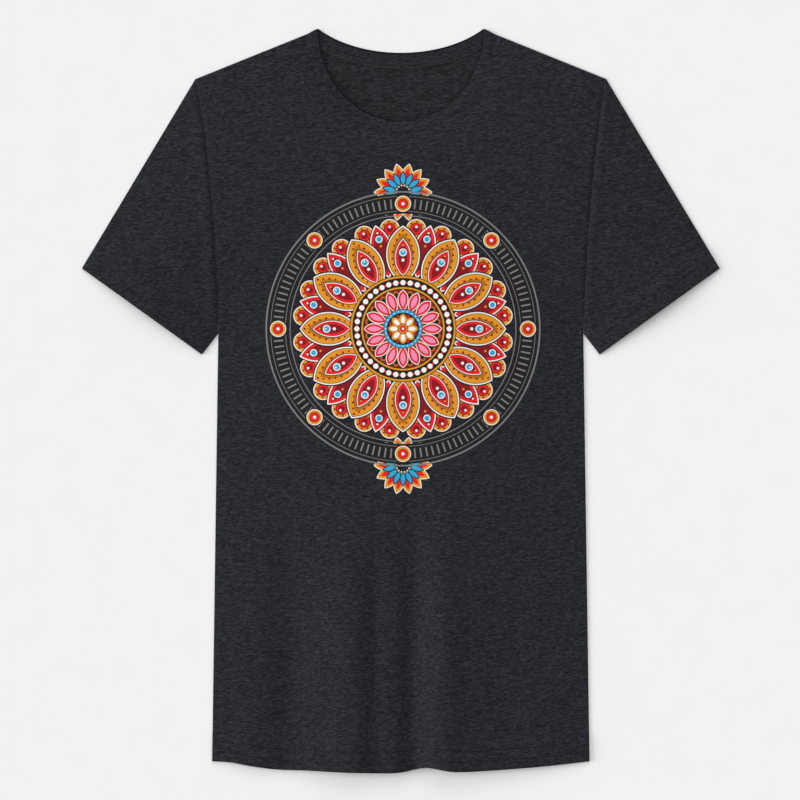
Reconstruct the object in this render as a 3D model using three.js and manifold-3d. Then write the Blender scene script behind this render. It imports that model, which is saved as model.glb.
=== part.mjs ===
// A short-sleeved crew-neck T-shirt in thin jersey, laid flat on its back with the front up.
// Millimetres. X runs across the chest, Y from the hem up to the neck, and Z up from the floor.
// The two body panels and the two layers of each sleeve meet at the shoulders, sides, sleeve folds
// and underarms, and the air between them lifts the top layer everywhere else. The hem, the cuffs
// and the neck are open. Left and right are the wearer's, so the left sleeve is on the +X side.
import * as THREE from 'three';
import { mergeVertices } from 'three/addons/utils/BufferGeometryUtils.js';
import Module from 'manifold-3d';

const wasm = await Module();
wasm.setup();

// Cloth and seams
const clothThickness = 0.6;
const seamGap = 0.3;               // clear space between two pieces that are sewn together
const bandThickness = 1.2;         // the neckband is a doubled strip
const bandWidth = 14;
const bandSettleRun = 20;          // the folded band comes down onto the cloth over this distance
const tapeThickness = 0.5;
const tapeWidth = 6.5;
const tapeSetback = 12;            // from a neck point to the tape's end

// Body, measured on the laid shirt
const bodyLength = 780;            // lowest point of the hem to the neck points
const neckHalfWidth = 86;
const frontNeckDrop = 96;          // neck points down to the band's edge at the front
const backNeckDrop = 25.5;         // and at the back
const backNeckHalfSpan = 94.5;     // half-width of the ellipse that the back neckline is part of
const shoulderHalfWidth = 215;
const shoulderDrop = 52;           // neck points down to the shoulder points
const armholeDepth = 267;          // shoulder points down to the underarms
const underarmHalfWidth = 191.5;
const armholeBow = 8.5;            // how far the armhole's control point is pulled towards the chest
const armholeBowRise = 20;         // and up from the middle of the armhole
const hemHalfWidth = 198;
const hemRise = 12;                // the hem's corners lie this far above its lowest point
const hemNotchRise = 5.5;          // the hem draws up a little at the end of the deepest fold
const hemNotchX = 27;
const hemNotchWidth = 20;

// Sleeves
const sleeveLength = 232;          // along the fold, from the shoulder point
const sleeveSlope = THREE.MathUtils.degToRad(59);
const underarmSeam = 28;            // from the underarm down to the cuff
const underarmSlope = THREE.MathUtils.degToRad(51.7);

// How the top layer lies
const loft = 11;                   // height of the air under the middle of the chest
const loftRun = 190;               // distance over which it rises from a closed edge
const foldStart = 330;             // the soft folds fade in below this height above the hem
const foldRun = 190;
const foldSetback = 55;            // and within this distance from a closed edge they fade out
const folds = [
  { x: -116, rise: -2.2, width: 26 },
  { x: -51, rise: 2.6, width: 28 },
  { x: 14, rise: -4, width: 16 },
  { x: 49, rise: 4, width: 24 },
  { x: 90, rise: -1, width: 22 },
];

// How finely the curves and sheets are divided
const panelColumns = 30;
const panelRows = { lower: 9, upper: 22 };
const hemPoints = 25;
const armholePoints = 12;
const neckPoints = 24;
const noseSteps = 3;
const sleeveSteps = 10;
const sleeveColumns = 9;
const bandSteps = { front: 30, back: 24, fold: 6 };
const margin = 5;                  // how far a cutting block stands out past what it cuts

// Places that the sizes above give, on the right-hand side of the sheet
const neckY = bodyLength;
const neckPoint = new THREE.Vector2(neckHalfWidth, neckY);
const shoulderPoint = new THREE.Vector2(shoulderHalfWidth, neckY - shoulderDrop);
const underarmPoint = new THREE.Vector2(underarmHalfWidth, shoulderPoint.y - armholeDepth);
const hemPoint = new THREE.Vector2(hemHalfWidth, hemRise);
const sleeveTip = new THREE.Vector2(Math.cos(sleeveSlope), -Math.sin(sleeveSlope))
  .multiplyScalar(sleeveLength).add(shoulderPoint);
const cuffCorner = new THREE.Vector2(Math.cos(underarmSlope), -Math.sin(underarmSlope))
  .multiplyScalar(underarmSeam).add(underarmPoint);
const cuffWidth = sleeveTip.distanceTo(cuffCorner);
const shoulderLine = shoulderPoint.clone().sub(neckPoint).normalize();
const shoulderNormal = new THREE.Vector2(-shoulderLine.y, shoulderLine.x);

// Heights of the layers where two of them meet
const frontUnderside = clothThickness + seamGap;
const sleeveThickness = 2 * clothThickness + seamGap;
const foldRadius = (bandThickness + seamGap) / 2;      // middle of the doubled band, where it folds

const smoothstep = (t) => THREE.MathUtils.smoothstep(t, 0, 1);
const bell = (distance, width) => Math.exp(-((distance / width) ** 2));

// Edges along which the top layer is joined to the bottom one, each with the cloth on its right
const closedEdges = [
  [neckPoint, shoulderPoint],
  [shoulderPoint, sleeveTip],
  [cuffCorner, underarmPoint],
  [underarmPoint, hemPoint],
];

// Distance in from the closed edges, and 0 outside them. Where two edges are about as near, it is
// a little less than either distance, so that the cloth has no crease half-way between them.
function distanceFromEdge(x, y) {
  const softness = 4;
  const tie = 1e-6;
  let nearest = Infinity;
  let inside = true;
  let sum = 0;
  for (const side of [1, -1]) {
    const point = new THREE.Vector2(side * x, y);
    for (const [start, end] of closedEdges) {
      const along = end.clone().sub(start);
      const offset = point.clone().sub(start);
      const share = THREE.MathUtils.clamp(offset.dot(along) / along.lengthSq(), 0, 1);
      const distance = offset.clone().addScaledVector(along, -share).length();
      const onCloth = along.cross(offset) <= 0;
      inside = distance < nearest - tie ? onCloth : inside || (distance < nearest + tie && onCloth);
      nearest = Math.min(nearest, distance);
      sum += distance ** -softness;
    }
  }
  return inside ? sum ** (-1 / softness) : 0;
}

// Rise of the top layer above its height at the closed edges: the air under it and the soft folds
function rise(x, y) {
  const distance = distanceFromEdge(x, y);
  const dome = 1 - (1 - Math.min(distance / loftRun, 1)) ** 2;
  const fade = smoothstep((foldStart - y) / foldRun) * smoothstep(distance / foldSetback);
  const fold = folds.reduce((sum, f) => sum + f.rise * bell(x - f.x, f.width), 0);
  return loft * dome + fade * fold;
}

// Curves of the cut
const hemHeight = (x) => hemRise * (x / hemHalfWidth) ** 2
  + hemNotchRise * bell(x - hemNotchX, hemNotchWidth);
const armhole = new THREE.QuadraticBezierCurve(
  shoulderPoint,
  new THREE.Vector2(
    (shoulderPoint.x + underarmPoint.x) / 2 - armholeBow,
    (shoulderPoint.y + underarmPoint.y) / 2 + armholeBowRise,
  ),
  underarmPoint,
);

// The front neckline is half an ellipse. Its seam is the same ellipse, larger by the band's width.
function frontNeck(angle, outward) {
  return new THREE.Vector2(
    (neckHalfWidth + outward) * Math.cos(angle),
    neckY - (frontNeckDrop + outward) * Math.sin(angle),
  );
}

// Angle at which that ellipse, moved outward, crosses the shoulder line
function shoulderCrossing(outward) {
  const halvings = 40;
  let low = 0;
  let high = Math.PI / 4;
  for (let i = 0; i < halvings; i++) {
    const middle = (low + high) / 2;
    const above = frontNeck(middle, outward).sub(neckPoint).dot(shoulderNormal) > 0;
    low = above ? middle : low;
    high = above ? high : middle;
  }
  return low;
}

// The back neckline is a shallow arc of an ellipse, and meets the front's on the shoulder line
const backNeckTilt = Math.sqrt(1 - (neckHalfWidth / backNeckHalfSpan) ** 2);
const backNeckHeight = backNeckDrop / (1 - backNeckTilt);
const backNeckCentre = neckY - backNeckDrop + backNeckHeight;
function backNeck(share, outward) {
  const end = outward > 0 ? frontNeck(shoulderCrossing(outward), outward) : neckPoint;
  const height = backNeckHeight + outward;
  const halfSpan = end.x / Math.sqrt(1 - ((backNeckCentre - end.y) / height) ** 2);
  const x = share * end.x;
  return new THREE.Vector2(x, backNeckCentre - height * Math.sqrt(1 - (x / halfSpan) ** 2));
}

// Turning a closed mesh into a solid that can be cut, and back
function solidOf(geometry) {
  const bare = new THREE.BufferGeometry();
  bare.setAttribute('position', geometry.getAttribute('position'));
  bare.setIndex(geometry.getIndex());
  const merged = mergeVertices(bare);
  return new wasm.Manifold(new wasm.Mesh({
    numProp: 3,
    vertProperties: new Float32Array(merged.getAttribute('position').array),
    triVerts: new Uint32Array(merged.getIndex().array),
  }));
}

function geometryOf(solid) {
  const mesh = solid.getMesh();
  const geometry = new THREE.BufferGeometry();
  geometry.setAttribute('position', new THREE.BufferAttribute(mesh.vertProperties, 3));
  geometry.setIndex(new THREE.BufferAttribute(mesh.triVerts, 1));
  return geometry;
}

// Moves every vertex of a geometry to the place that a function gives for it
function bend(geometry, placeOf) {
  const position = geometry.getAttribute('position');
  for (let i = 0; i < position.count; i++) {
    const place = placeOf(position.getX(i), position.getY(i), position.getZ(i), i);
    position.setXYZ(i, place.x, place.y, place.z);
  }
  return geometry;
}

// Mirrored across the middle of the chest, with its faces turned to point out again
function mirrored(geometry) {
  const copy = mergeVertices(bend(geometry.clone(), (x, y, z) => ({ x: -x, y, z })));
  const index = copy.getIndex();
  for (let i = 0; i < index.count; i += 3) {
    const second = index.getX(i + 1);
    index.setX(i + 1, index.getX(i + 2));
    index.setX(i + 2, second);
  }
  return copy;
}

// Outline of a body panel: down the right side, along the hem, up the left side, round the neck.
// necklinePoints run from the right shoulder to the left one.
function panelOutline(necklinePoints) {
  const side = armhole.getPoints(armholePoints);
  const leftSide = side.map((p) => new THREE.Vector2(-p.x, p.y)).reverse();
  const hem = Array.from({ length: hemPoints }, (_, i) => {
    const x = hemHalfWidth * (1 - 2 * i / (hemPoints - 1));
    return new THREE.Vector2(x, hemHeight(x));
  });
  return new THREE.Shape([...side, ...hem, ...leftSide, ...necklinePoints.reverse()]);
}

// Everything under a surface that follows the rise of the top layer, down below the floor
function solidBelow(height) {
  const halfWidth = shoulderHalfWidth + margin;
  const rows = panelRows.lower + panelRows.upper;
  const divide = underarmPoint.y - foldSetback;
  const block = new THREE.BoxGeometry(2, rows, 1, panelColumns, rows, 1);
  return solidOf(bend(block, (across, row, up) => {
    const step = row + rows / 2;
    const x = across * halfWidth;
    const y = step <= panelRows.lower
      ? THREE.MathUtils.mapLinear(step, 0, panelRows.lower, -margin, divide)
      : THREE.MathUtils.mapLinear(step, panelRows.lower, rows, divide, neckY + margin);
    return { x, y, z: up > 0 ? height + rise(x, y) : -margin };
  }));
}

// Front panel: a sheet that follows the rise of the top layer, cut to the outline
function makeFrontPanel() {
  const sheet = solidBelow(frontUnderside + clothThickness).subtract(solidBelow(frontUnderside));
  const seam = bandWidth + seamGap;
  const start = shoulderCrossing(seam);
  const neckline = Array.from({ length: neckPoints + 1 }, (_, i) =>
    frontNeck(THREE.MathUtils.lerp(start, Math.PI - start, i / neckPoints), seam));
  const block = new THREE.ExtrudeGeometry(panelOutline(neckline), {
    depth: loft * 2 + margin, steps: 1, bevelEnabled: false,
  });
  return geometryOf(sheet.intersect(solidOf(block)));
}

// Back panel: flat on the floor
function makeBackPanel() {
  const neckline = Array.from({ length: neckPoints + 1 }, (_, i) =>
    backNeck(1 - 2 * i / neckPoints, bandWidth + seamGap));
  return new THREE.ExtrudeGeometry(panelOutline(neckline), {
    depth: clothThickness, steps: 1, bevelEnabled: false,
  });
}

// Flattened tube's section, inset from the outer one: flat below and above, with round noses
function tubeSection(width, inset) {
  const radius = sleeveThickness / 2;
  const points = [];
  for (let i = 0; i <= sleeveColumns; i++) {
    points.push(new THREE.Vector2(THREE.MathUtils.lerp(radius, width - radius, i / sleeveColumns), inset));
  }
  const nose = (centreX, from) => {
    for (let i = 1; i < noseSteps; i++) {
      const angle = from + Math.PI * i / noseSteps;
      points.push(new THREE.Vector2(
        centreX + (radius - inset) * Math.cos(angle),
        radius + (radius - inset) * Math.sin(angle),
      ));
    }
  };
  nose(width - radius, -Math.PI / 2);
  for (let i = sleeveColumns; i >= 0; i--) {
    points.push(new THREE.Vector2(
      THREE.MathUtils.lerp(radius, width - radius, i / sleeveColumns),
      sleeveThickness - inset,
    ));
  }
  nose(radius, Math.PI / 2);
  return points;
}

// Space inside a flattened tube whose skin is inset from the sleeve's outside. Across, it runs from
// the underarm seam to the fold, and along, from the armhole's curve to the straight cuff.
// The overrun is how far it goes on past both, along the fold.
function sleeveSpace(inset, overrun) {
  const nominalWidth = armholeDepth;
  const radius = sleeveThickness / 2;
  const steps = sleeveSteps + 2;
  const space = new THREE.ExtrudeGeometry(new THREE.Shape(tubeSection(nominalWidth, inset)), {
    depth: steps, steps, bevelEnabled: false,
  });
  const cuff = new THREE.LineCurve(sleeveTip, cuffCorner);
  return solidOf(bend(space, (across, up, step) => {
    const past = (step > steps - 0.5) - (step < 0.5);
    const share = THREE.MathUtils.clamp((step - 1) / sleeveSteps, 0, 1) + past * overrun / sleeveLength;
    const width = THREE.MathUtils.lerp(armhole.getLength(), cuffWidth, share);
    let place = THREE.MathUtils.mapLinear(across, radius, nominalWidth - radius, radius, width - radius);
    place = across < radius ? across : place;
    place = across > nominalWidth - radius ? across + width - nominalWidth : place;
    const fromFold = THREE.MathUtils.clamp(1 - place / width, 0, 1);
    const atArmhole = armhole.getPointAt(fromFold).add(new THREE.Vector2(seamGap, 0));
    const plan = atArmhole.lerp(cuff.getPointAt(fromFold), share);
    const lift = up > radius ? rise(plan.x, plan.y) : 0;
    return { x: plan.x, y: plan.y, z: up + lift };
  }));
}

// Left sleeve: a tube of one layer of cloth, cut off along the armhole and the cuff
function makeLeftSleeve() {
  const overrun = 20;
  const tube = sleeveSpace(0, overrun).subtract(sleeveSpace(clothThickness, overrun * 1.5));
  const seam = armhole.getPoints(armholePoints).map((p) => new THREE.Vector2(p.x + seamGap, p.y));
  const cuffLine = cuffCorner.clone().sub(sleeveTip).normalize();
  const outline = [
    ...seam,
    cuffCorner.clone().addScaledVector(cuffLine, margin),
    sleeveTip.clone().addScaledVector(cuffLine, -margin),
    new THREE.Vector2(seam[0].x, seam[0].y + margin),
  ];
  const block = new THREE.ExtrudeGeometry(new THREE.Shape(outline), {
    depth: 2 * (loft + margin), steps: 1, bevelEnabled: false,
  });
  return geometryOf(tube.intersect(solidOf(block.translate(0, 0, -margin))));
}

// Neckband: one closed ring. Its front half lies on the top layer, its back half on the floor,
// and at each neck point it folds over from one to the other. Stations run from the left neck
// point round the front to the right one, and back behind the neck.
function makeNeckband() {
  const steps = bandSteps.front + bandSteps.back + 2 * bandSteps.fold;
  const half = bandThickness / 2;
  const corners = [[0, -half], [0, half], [bandWidth, half], [bandWidth, -half], [0, -half]];
  const profile = corners.map(([across, out]) => new THREE.Vector2(bodyLength + across, out));
  const ring = new THREE.LatheGeometry(profile, steps);
  const seamStart = shoulderCrossing(bandWidth);
  const seamEnd = frontNeck(seamStart, bandWidth);
  const lowMiddle = half;
  const highMiddle = lowMiddle + 2 * foldRadius;
  const settle = highMiddle - half - frontUnderside;

  const onFront = (share, across, out) => {
    const edge = frontNeck(Math.PI * share, 0);
    const seam = frontNeck(THREE.MathUtils.lerp(seamStart, Math.PI - seamStart, share), bandWidth);
    const plan = edge.lerp(seam, across / bandWidth);
    const drop = settle * smoothstep(distanceFromEdge(plan.x, plan.y) / bandSettleRun);
    return { x: plan.x, y: plan.y, z: highMiddle - drop + rise(plan.x, plan.y) + out };
  };
  const onFold = (share, across, out, side) => {
    const turn = Math.PI * (0.5 - share);
    const reach = (foldRadius + out) * Math.cos(turn);
    const plan = neckPoint.clone().lerp(seamEnd, across / bandWidth).addScaledVector(shoulderNormal, reach);
    const middle = (lowMiddle + highMiddle) / 2;
    return { x: side * plan.x, y: plan.y, z: middle + (foldRadius + out) * Math.sin(turn) };
  };
  const onBack = (share, across, out) => {
    const place = 2 * share - 1;
    const plan = backNeck(place, 0).lerp(backNeck(place, bandWidth), across / bandWidth);
    return { x: plan.x, y: plan.y, z: lowMiddle - out };
  };

  return bend(ring, (x, y, z, i) => {
    const station = Math.floor(i / profile.length) % steps;
    const [across, out] = corners[i % profile.length];
    let rest = station;
    if (rest < bandSteps.front) {
      return onFront(rest / bandSteps.front, across, out);
    }
    rest -= bandSteps.front;
    if (rest < bandSteps.fold) {
      return onFold(rest / bandSteps.fold, across, out, -1);
    }
    rest -= bandSteps.fold;
    if (rest < bandSteps.back) {
      return onBack(rest / bandSteps.back, across, out);
    }
    return onFold(1 - (rest - bandSteps.back) / bandSteps.fold, across, out, 1);
  });
}

// Neck tape: a narrow strip over the seam inside the back of the neck. It stops short of the
// shoulder seams, where the front comes down on it.
function makeNeckTape() {
  const reach = 1 - tapeSetback / neckHalfWidth;
  const edge = (outward) => Array.from({ length: neckPoints + 1 }, (_, i) =>
    backNeck(reach * (1 - 2 * i / neckPoints), outward));
  const upper = edge(bandWidth - tapeWidth / 2);
  const lower = edge(bandWidth + tapeWidth / 2);
  const tape = new THREE.ExtrudeGeometry(new THREE.Shape([...upper, ...lower.reverse()]), {
    depth: tapeThickness, steps: 1, bevelEnabled: false,
  });
  return tape.translate(0, 0, bandThickness + seamGap);
}

// Finishes
const heatherJersey = () => new THREE.MeshStandardMaterial({ color: 0x2b2c30, roughness: 0.95, metalness: 0 });
const cottonTape = () => new THREE.MeshStandardMaterial({ color: 0x28292d, roughness: 0.95, metalness: 0 });

function piece(name, geometry, material) {
  const mesh = new THREE.Mesh(geometry, material);
  mesh.name = name;
  return mesh;
}

const leftSleeve = makeLeftSleeve();
const shirt = new THREE.Group();
shirt.add(
  piece('front_panel', makeFrontPanel(), heatherJersey()),
  piece('back_panel', makeBackPanel(), heatherJersey()),
  piece('left_sleeve', leftSleeve, heatherJersey()),
  piece('right_sleeve', mirrored(leftSleeve), heatherJersey()),
  piece('neckband', makeNeckband(), heatherJersey()),
  piece('neck_tape', makeNeckTape(), cottonTape()),
);

// The origin is on the floor, under the middle of the whole shirt
const extent = new THREE.Box3().setFromObject(shirt);
const middle = extent.getCenter(new THREE.Vector3());
shirt.position.set(-middle.x, -middle.y, -extent.min.z);

export default shirt;
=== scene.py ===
"""A short-sleeved crew-neck T-shirt in thin charcoal heather jersey, laid flat on its back, front up.

Metres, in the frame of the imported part: X across the chest, Y from the hem up to the neck, Z up
from the floor. Left and right are the wearer's, so the left sleeve is on the +X side. Two body
panels, two sleeves, a neckband and a neck tape are cut, hemmed and sewn together, and a round
ornament is printed on the chest.
"""

import bisect
import math

import bmesh
import bpy
from mathutils import Matrix, Vector, kdtree, noise


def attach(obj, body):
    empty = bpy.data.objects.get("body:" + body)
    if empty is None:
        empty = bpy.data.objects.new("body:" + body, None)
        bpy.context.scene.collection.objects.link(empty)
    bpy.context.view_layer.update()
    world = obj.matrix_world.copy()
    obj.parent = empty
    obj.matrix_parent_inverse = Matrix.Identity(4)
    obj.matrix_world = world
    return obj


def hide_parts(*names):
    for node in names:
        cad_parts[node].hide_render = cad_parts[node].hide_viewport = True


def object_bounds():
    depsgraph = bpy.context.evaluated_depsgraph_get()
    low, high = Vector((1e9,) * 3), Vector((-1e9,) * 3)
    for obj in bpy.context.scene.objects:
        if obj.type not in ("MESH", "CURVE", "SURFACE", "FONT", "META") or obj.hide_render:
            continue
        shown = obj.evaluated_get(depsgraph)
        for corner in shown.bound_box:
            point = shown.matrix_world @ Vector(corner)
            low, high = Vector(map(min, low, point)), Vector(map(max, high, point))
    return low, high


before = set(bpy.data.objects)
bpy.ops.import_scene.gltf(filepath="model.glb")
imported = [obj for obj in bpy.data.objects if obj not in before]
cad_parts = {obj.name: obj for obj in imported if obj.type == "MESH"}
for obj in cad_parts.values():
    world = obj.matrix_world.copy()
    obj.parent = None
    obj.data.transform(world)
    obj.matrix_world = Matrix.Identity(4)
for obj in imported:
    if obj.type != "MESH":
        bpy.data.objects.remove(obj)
cad_low, cad_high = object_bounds()

MM = 0.001

# Cloth and seams
CLOTH = 0.55 * MM
SEAM_GAP = 0.3 * MM
FLOOR_LAYER = 0.3 * MM              # middle of the layer that lies on the floor
TOP_LAYER = 1.2 * MM                # middle of the layer above, where the two are sewn together
FOLDED_GAP = 0.76 * MM              # between the middles of a hem's two layers
HEM_TURN = 22 * MM
CUFF_TURN = 20 * MM
HEM_LIFT = 1.28 * MM                # the turned hems raise the top layer by this much
HEM_SETTLE = 14 * MM                # and it comes down again over this distance
HEM_STITCHES = (9.5 * MM, 21 * MM)  # rows of stitches above the hem's edge
CUFF_STITCHES = (13 * MM, 18.5 * MM)
FREE_RUN = 25 * MM                  # this far in from the joined edges the top layer moves freely
CLOSED_FREEDOM = 0.2                # and at the joined edges only by this share
HEM_DRAW = 0.5 * MM                 # the lower row of stitches draws the hem in by this much
CUFF_DRAW = 0.35 * MM
UPPER_ROW_DRAW = 0.6                # the upper row draws it in by this share of that
GROOVE_WIDTH = 1.4 * MM             # how far a row of stitches draws the cloth in to each side
GROOVE_ROWS = (-1.2, -0.5, 0, 0.5, 1.2)     # rows of the mesh in a groove, in groove widths
HEM_PUFF = 0.22 * MM                # how far the hem swells between its rows of stitches
EDGE_PUFF = 0.18 * MM               # and between the lower row and its edge
PUCKER = 0.22 * MM                  # unevenness of the sewn hem
PUCKER_RUN = 10 * MM
PUCKER_GRAIN = (11 * MM, 30 * MM, 5.3)
SEAM_DRAW = 1.3 * MM                # a seam lies this much lower than the cloth beside it
SEAM_WIDTH = 1.7 * MM
SEAM_RIDGE = (0.7 * MM, 6 * MM, 5 * MM)     # ridge beside the armhole's seam: height, place, width
SEAM_RIDGE_RUN = 12 * MM
UNDERARM_EASE = 8 * MM              # the armhole's seam eases in over this height above the underarm
BAND_WIDTH = 14 * MM
BAND_SEAM = BAND_WIDTH + SEAM_GAP   # from the neckline out to the edge of the panels
BAND_EDGE = 14.25 * MM              # the band's sewn edge comes this far, right up to the panels
BAND_THICKNESS = 1.2 * MM
BAND_PUFF = 0.12                    # the band is thicker in its middle by this share
BAND_PRESS = (7 * MM, 7 * MM)       # it is pressed thin towards its seam: from here, over this width
SEWN_THINNING = 0.52                # and is thinner there by this share
FOLD_ROUNDING = 1.2                 # width of its rounded folded edge, in half thicknesses
BAND_WAVE = 0.25 * MM               # slight waviness along the band
BAND_WAVE_GRAIN = (30 * MM, 30 * MM, 2.2)
TIP_ROUNDING = 4 * MM               # the corner where the band folds over at a neck point
TIP_DRAW = 0.9                      # the fold is drawn in by this share towards the seam
BAND_SETTLE = 20 * MM               # the band lies closer to the back from this far in
TAPE_WIDTH = 6.5 * MM
TAPE_THICKNESS = 0.5 * MM
TAPE_SETBACK = 12 * MM              # the tape ends this far from the neck points
TAPE_BED = 0.16 * MM                # it is pressed this deep into the band
TAPE_CLEARANCE = 0.3 * MM           # and its lower edge stands this far off the back panel
TAPE_STEP = (3 * MM, 5 * MM)        # it steps down from this far inside the seam, over this width

# Body, measured on the laid shirt
BODY_LENGTH = 780 * MM
NECK_HALF_WIDTH = 86 * MM
FRONT_NECK_DROP = 96 * MM
BACK_NECK_DROP = 24.6 * MM
BACK_NECK_HALF_SPAN = 112 * MM
SHOULDER_HALF_WIDTH = 215 * MM
SHOULDER_DROP = 52 * MM
ARMHOLE_DEPTH = 267 * MM
UNDERARM_HALF_WIDTH = 191.5 * MM
ARMHOLE_BOW = 8.5 * MM
ARMHOLE_BOW_RISE = 20 * MM
HEM_HALF_WIDTH = 198 * MM
HEM_RISE = 12 * MM
HEM_NOTCH_RISE = 5.5 * MM
HEM_NOTCH_X = 27 * MM
HEM_NOTCH_WIDTH = 20 * MM
HEM_KINK = 1.4 * MM                 # a slight wave near the hem's right end, up and down by this much
HEM_KINK_UP = (-180 * MM, 14 * MM)  # where, and how wide
HEM_KINK_DOWN = (-130 * MM, 24 * MM)
HEM_SEARCH = 60                     # the hem is lowest within this many millimetres of its middle
PANEL_LENGTH_AT = 0.2               # a panel's flat length is taken at this share across its top

# Sleeves
SLEEVE_LENGTH = 232 * MM
SLEEVE_SLOPE = math.radians(59)
UNDERARM_SEAM = 28 * MM
UNDERARM_SLOPE = math.radians(51.7)

# How the top layer lies: the air under it, and the soft folds above the hem
LOFT = 11 * MM
LOFT_RUN = 190 * MM
FOLD_START = 330 * MM
FOLD_RUN = 190 * MM
FOLD_SETBACK = 55 * MM
FOLDS = (
    # across the chest, rise, width
    (-114 * MM, -4.2 * MM, 24 * MM),
    (-52 * MM, 3.4 * MM, 21 * MM),
    (-27 * MM, -1.2 * MM, 8 * MM),
    (14 * MM, -4 * MM, 13 * MM),
    (46 * MM, 4 * MM, 18 * MM),
    (76 * MM, 1.6 * MM, 22 * MM),
)
FOLD_RELIEF = 0.8                   # the folds' fine shape adds this share of their slope
HEM_DROOP = 1.5 * MM                # the middle of the front's edge sinks by this much
HEM_DROOP_RUN = 70 * MM
NECK_SINK = 0.35                    # the cloth lies lower by this share round the neck
NECK_SINK_RUN = 25 * MM
BAND_SINK = 0.36                    # and the neckband sinks by this share more, towards its edge
NECK_DRAW = (6 * MM, 46 * MM)       # the front's neck seam is drawn down here, across this width

# Unevenness of cloth that was smoothed by hand: its height, and its grain across, up and in depth
BROAD_WRINKLES = 0.45 * MM
BROAD_GRAIN = (75 * MM, 120 * MM, 3.7)
SMALL_WRINKLES = 0.07 * MM
SMALL_GRAIN = (16 * MM, 22 * MM, 8.1)
BACK_WRINKLES = 0.12 * MM
BACK_GRAIN = (30 * MM, 40 * MM, 1.9)
WRINKLE_SETBACK = 30 * MM

# Photograph: the size of a pixel on the shirt, and where the picture's middle falls
PHOTO_SIDE = 800
PHOTO_PIXEL = 1.05 * MM
PHOTO_MIDDLE = Vector((-0.84 * MM, 0.21 * MM))
PRINT_MIDDLE = Vector((2.3 * MM, 74.8 * MM))


def smoothstep(share):
    """Eases from 0 to 1."""
    share = min(max(share, 0.0), 1.0)
    return share * share * (3 - 2 * share)


def bell(distance, width):
    """A rounded peak of height 1."""
    return math.exp(-((distance / width) ** 2))


def unevenness(x, y, grain):
    """Smooth unevenness, from -1 to 1."""
    return noise.noise(Vector((x / grain[0], y / grain[1], grain[2])))


def spread(*stretches):
    """Stops along a line of several stretches, each given by its end and its number of steps."""
    stops = [0.0]
    for end, steps in stretches:
        start = stops[-1]
        stops += [start + (end - start) * i / steps for i in range(1, steps + 1)]
    return stops


class Path:
    """A line through points in the plane, read by the share of its length."""

    def __init__(self, points):
        self.points = list(points)
        self.reach = [0.0]
        for before, after in zip(self.points, self.points[1:]):
            self.reach.append(self.reach[-1] + (after - before).length)
        self.length = self.reach[-1]

    def at(self, share):
        distance = min(max(share, 0.0), 1.0) * self.length
        i = min(max(bisect.bisect_right(self.reach, distance), 1), len(self.points) - 1)
        stretch = self.reach[i] - self.reach[i - 1]
        return self.points[i - 1].lerp(self.points[i], (distance - self.reach[i - 1]) / stretch)

    def mirrored(self):
        return Path(Vector((-p.x, p.y)) for p in self.points)


# Places that the sizes give, on the wearer's left, with the hem's lowest point where the frame has it
def hem_rise(x):
    """Height of the hem's edge above its level line, across the body."""
    bow = HEM_RISE * (x / HEM_HALF_WIDTH) ** 2
    notch = HEM_NOTCH_RISE * bell(x - HEM_NOTCH_X, HEM_NOTCH_WIDTH)
    up, down = (bell(x - at, width) for at, width in (HEM_KINK_UP, HEM_KINK_DOWN))
    return bow + notch + HEM_KINK * (up - down)


HEM_Y = cad_low.y - min(hem_rise(i * MM) for i in range(-HEM_SEARCH, HEM_SEARCH))
NECK_Y = HEM_Y + BODY_LENGTH
NECK_POINT = Vector((NECK_HALF_WIDTH, NECK_Y))
SHOULDER_POINT = Vector((SHOULDER_HALF_WIDTH, NECK_Y - SHOULDER_DROP))
UNDERARM_POINT = Vector((UNDERARM_HALF_WIDTH, SHOULDER_POINT.y - ARMHOLE_DEPTH))
HEM_POINT = Vector((HEM_HALF_WIDTH, HEM_Y + HEM_RISE))
SLEEVE_TIP = SHOULDER_POINT + SLEEVE_LENGTH * Vector((math.cos(SLEEVE_SLOPE), -math.sin(SLEEVE_SLOPE)))
CUFF_CORNER = UNDERARM_POINT + UNDERARM_SEAM * Vector((math.cos(UNDERARM_SLOPE), -math.sin(UNDERARM_SLOPE)))
SHOULDER_LINE = (SHOULDER_POINT - NECK_POINT).normalized()
SHOULDER_NORMAL = Vector((-SHOULDER_LINE.y, SHOULDER_LINE.x))
CUFF = Path([SLEEVE_TIP, CUFF_CORNER])
CUFF_INWARD = Vector((CUFF_CORNER.y - SLEEVE_TIP.y, SLEEVE_TIP.x - CUFF_CORNER.x)).normalized()


def armhole_line(steps=96):
    """The armhole's curve from the shoulder down to the underarm."""
    control = (SHOULDER_POINT + UNDERARM_POINT) / 2 + Vector((-ARMHOLE_BOW, ARMHOLE_BOW_RISE))
    shares = [i / steps for i in range(steps + 1)]
    return Path(
        SHOULDER_POINT.lerp(control, t).lerp(control.lerp(UNDERARM_POINT, t), t) for t in shares
    )


ARMHOLE = armhole_line()


def front_neck(angle, outward):
    """The front neckline is half an ellipse, and its seam the same ellipse, larger by the band."""
    return Vector((
        (NECK_HALF_WIDTH + outward) * math.cos(angle),
        NECK_Y - (FRONT_NECK_DROP + outward) * math.sin(angle),
    ))


def shoulder_crossing(outward):
    """Angle at which that ellipse, moved outward, crosses the shoulder line."""
    low, high = 0.0, math.pi / 4
    for _ in range(40):
        middle = (low + high) / 2
        if (front_neck(middle, outward) - NECK_POINT).dot(SHOULDER_NORMAL) > 0:
            low = middle
        else:
            high = middle
    return low


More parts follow.
